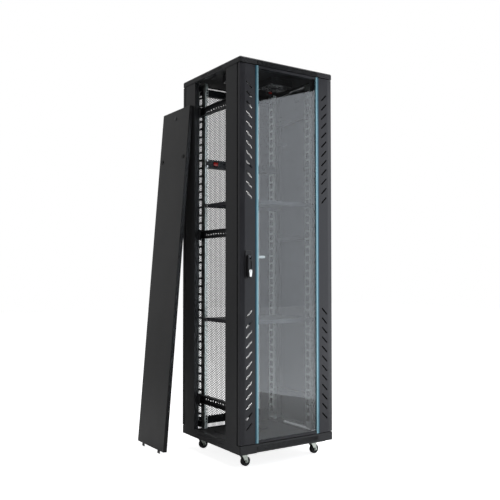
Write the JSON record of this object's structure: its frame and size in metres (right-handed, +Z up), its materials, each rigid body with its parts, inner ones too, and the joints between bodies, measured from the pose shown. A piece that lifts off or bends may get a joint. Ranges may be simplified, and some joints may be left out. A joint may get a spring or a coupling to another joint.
{
  "type": "network server rack cabinet",
  "caption": "Floor-standing network rack cabinet on castors with a glazed front door, mesh rear door, rack rails, shelves, roof fans and a side panel leaning beside it.",
  "frame": {"origin": "middle of the whole assembly's box at floor level", "axes": "+Z up along the cabinet's height, front door faces -Y, +X to the right seen from the front"},
  "size_m": [0.7822, 0.8306, 2.082],
  "materials": {
    "frame_black": "fine textured powder coat, satin black",
    "panel_black": "smooth powder coat, satin black",
    "door_black": "fine textured powder coat, satin black",
    "floor_grey": "powder coat, satin",
    "rail_zinc": "zinc plated, satin",
    "shelf_black": "powder coat, satin",
    "door_glass": "clear toughened glass, faint grey tint",
    "trim_cyan": "anodised, pale cyan",
    "gasket_rubber": "sponge, matt",
    "handle_plastic": "moulded, satin",
    "bright_steel": "nickel or zinc plated, bright",
    "latch_plastic": "moulded, matt",
    "fan_plastic": "moulded, satin",
    "guard_steel": "plated wire",
    "strip_black": "satin",
    "switch_red": "moulded, glossy red",
    "castor_zinc": "zinc plated",
    "wheel_black": "solid tyre, satin"
  },
  "bodies": {
    "frame": {"base_frame": "frame_black", "floor_panel": "floor_grey", "castor_plates": "frame_black", "post_front_left": "frame_black", "post_front_right": "frame_black", "post_rear_left": "frame_black", "post_rear_right": "frame_black", "rear_beams": "frame_black", "depth_struts_left": "frame_black", "depth_struts_right": "frame_black", "rail_front_left": "rail_zinc", "rail_front_right": "rail_zinc", "rail_rear_left": "rail_zinc", "rail_rear_right": "rail_zinc", "roof_frame": "frame_black", "roof_panel": "frame_black", "latch_keepers": "frame_black", "fan_housings": "fan_plastic", "fan_guards": "guard_steel", "fan_switch_box": "strip_black", "shelf_lower": "shelf_black", "shelf_upper": "shelf_black", "power_strip": "strip_black", "frame_bolts": "bright_steel", "hinge_pins": "bright_steel"},
    "entry_cover": {"cable_entry_cover": "floor_grey"},
    "front_door": {"front_door_frame": "door_black", "front_door_glass": "door_glass", "glass_trim_left": "trim_cyan", "glass_trim_right": "trim_cyan", "front_door_gasket": "gasket_rubber", "handle_plate": "handle_plastic"},
    "handle_shaft": {"handle_spindle": "bright_steel", "latch_cam": "bright_steel"},
    "handle_lever": {"handle_lever": "handle_plastic"},
    "lock_plug": {"lock_plug": "bright_steel"},
    "lock_cover": {"lock_cover": "bright_steel"},
    "rear_door": {"rear_door_frame": "door_black", "rear_door_mesh": "door_black"},
    "rear_lock": {"rear_lock": "bright_steel"},
    "right_panel": {"side_panel_right": "panel_black"},
    "left_panel": {"side_panel_left": "panel_black"},
    "fan_rotor_left": {"fan_rotor_left": "fan_plastic"},
    "fan_rotor_right": {"fan_rotor_right": "fan_plastic"},
    "fan_rocker": {"fan_rocker": "switch_red"},
    "power_rocker": {"power_rocker": "switch_red"},
    "panel_lock_left": {"panel_lock_left": "bright_steel"},
    "latch_front_left": {"latch_front_left": "latch_plastic"},
    "latch_rear_left": {"latch_rear_left": "latch_plastic"},
    "panel_lock_right": {"panel_lock_right": "bright_steel"},
    "latch_front_right": {"latch_front_right": "latch_plastic"},
    "latch_rear_right": {"latch_rear_right": "latch_plastic"},
    "castor_front_left": {"castor_fork_front_left": "castor_zinc"},
    "wheel_front_left": {"castor_wheel_front_left": "wheel_black"},
    "castor_front_right": {"castor_fork_front_right": "castor_zinc"},
    "wheel_front_right": {"castor_wheel_front_right": "wheel_black"},
    "castor_rear_left": {"castor_fork_rear_left": "castor_zinc"},
    "wheel_rear_left": {"castor_wheel_rear_left": "wheel_black"},
    "castor_rear_right": {"castor_fork_rear_right": "castor_zinc"},
    "wheel_rear_right": {"castor_wheel_rear_right": "wheel_black"}
  },
  "joints": [
    {"name": "front_door_swing", "type": "hinge", "parent": "frame", "child": "front_door", "pos_m": [0.38013, -0.38225, 1], "axis": [0, 0, 1], "range_deg": [0, 125]},
    {"name": "handle_turn", "type": "hinge", "parent": "front_door", "child": "handle_shaft", "pos_m": [-0.16187, -0.40475, 1.067], "axis": [0, -1, 0], "range_deg": [0, 90]},
    {"name": "handle_lift", "type": "hinge", "parent": "handle_shaft", "child": "handle_lever", "pos_m": [-0.16187, -0.40475, 1.067], "axis": [-1, 0, 0], "range_deg": [0, 45]},
    {"name": "lock_plug_turn", "type": "hinge", "parent": "handle_lever", "child": "lock_plug", "pos_m": [-0.16187, -0.41175, 0.983], "axis": [0, -1, 0], "range_deg": [0, 90]},
    {"name": "lock_cover_swing", "type": "hinge", "parent": "handle_lever", "child": "lock_cover", "pos_m": [-0.16187, -0.41375, 0.9945], "axis": [0, -1, 0], "range_deg": [0, 100]},
    {"name": "rear_door_swing", "type": "hinge", "parent": "frame", "child": "rear_door", "pos_m": [0.38013, 0.19575, 1], "axis": [0, 0, -1], "range_deg": [0, 125]},
    {"name": "rear_lock_turn", "type": "hinge", "parent": "rear_door", "child": "rear_lock", "pos_m": [-0.15387, 0.20675, 1.067], "axis": [0, -1, 0], "range_deg": [0, 90]},
    {"name": "right_panel_tilt", "type": "hinge", "parent": "frame", "child": "right_panel", "pos_m": [0.38813, -0.09325, 0.131], "axis": [0, 1, 0], "range_deg": [0, 15]},
    {"name": "left_panel_lean", "type": "hinge", "parent": "frame", "child": "left_panel", "pos_m": [-0.38543, 0.25275, 0], "axis": [0, 1, 0], "range_deg": [-10, 0]},
    {"name": "latch_front_right_slide", "type": "slide", "parent": "right_panel", "child": "latch_front_right", "axis": [0, -1, 0], "range_m": [0, 0.009]},
    {"name": "latch_front_left_slide", "type": "slide", "parent": "left_panel", "child": "latch_front_left", "axis": [0, -1, 0], "range_m": [0, 0.009]},
    {"name": "latch_rear_right_slide", "type": "slide", "parent": "right_panel", "child": "latch_rear_right", "axis": [0, 1, 0], "range_m": [0, 0.009]},
    {"name": "latch_rear_left_slide", "type": "slide", "parent": "left_panel", "child": "latch_rear_left", "axis": [0, 1, 0], "range_m": [0, 0.009]},
    {"name": "panel_lock_right_turn", "type": "hinge", "parent": "right_panel", "child": "panel_lock_right", "pos_m": [0.38813, -0.09325, 1.997], "axis": [1, 0, 0], "range_deg": [0, 180]},
    {"name": "panel_lock_left_turn", "type": "hinge", "parent": "left_panel", "child": "panel_lock_left", "pos_m": [-0.23823, 0.25275, 1.87826], "axis": [0.9966, 0, -0.0819], "range_deg": [0, 180]},
    {"name": "entry_cover_slide", "type": "slide", "parent": "frame", "child": "entry_cover", "axis": [0, -1, 0], "range_m": [0, 0.08]},
    {"name": "fan_left_spin", "type": "hinge", "parent": "frame", "child": "fan_rotor_left", "pos_m": [-0.02687, -0.11325, 2.079], "axis": [0, 0, 1], "continuous": true},
    {"name": "fan_right_spin", "type": "hinge", "parent": "frame", "child": "fan_rotor_right", "pos_m": [0.20313, -0.11325, 2.079], "axis": [0, 0, 1], "continuous": true},
    {"name": "fan_rocker_tip", "type": "hinge", "parent": "frame", "child": "fan_rocker", "pos_m": [0.23013, -0.02625, 2.038], "axis": [1, 0, 0], "range_deg": [0, 14]},
    {"name": "power_rocker_tip", "type": "hinge", "parent": "frame", "child": "power_rocker", "pos_m": [-0.08887, 0.05475, 1.59918], "axis": [1, 0, 0], "range_deg": [0, 14]},
    {"name": "swivel_front_left", "type": "hinge", "parent": "frame", "child": "castor_front_left", "pos_m": [-0.13687, -0.30825, 0.069], "axis": [0, 0, 1], "continuous": true},
    {"name": "roll_front_left", "type": "hinge", "parent": "castor_front_left", "child": "wheel_front_left", "pos_m": [-0.12487, -0.30825, 0.025], "axis": [0, 1, 0], "continuous": true},
    {"name": "swivel_front_right", "type": "hinge", "parent": "frame", "child": "castor_front_right", "pos_m": [0.31313, -0.30825, 0.069], "axis": [0, 0, 1], "continuous": true},
    {"name": "roll_front_right", "type": "hinge", "parent": "castor_front_right", "child": "wheel_front_right", "pos_m": [0.32513, -0.30825, 0.025], "axis": [0, 1, 0], "continuous": true},
    {"name": "swivel_rear_left", "type": "hinge", "parent": "frame", "child": "castor_rear_left", "pos_m": [-0.13687, 0.12175, 0.069], "axis": [0, 0, 1], "continuous": true},
    {"name": "roll_rear_left", "type": "hinge", "parent": "castor_rear_left", "child": "wheel_rear_left", "pos_m": [-0.12487, 0.12175, 0.025], "axis": [0, 1, 0], "continuous": true},
    {"name": "swivel_rear_right", "type": "hinge", "parent": "frame", "child": "castor_rear_right", "pos_m": [0.31313, 0.12175, 0.069], "axis": [0, 0, 1], "continuous": true},
    {"name": "roll_rear_right", "type": "hinge", "parent": "castor_rear_right", "child": "wheel_rear_right", "pos_m": [0.32513, 0.12175, 0.025], "axis": [0, 1, 0], "continuous": true}
  ]
}
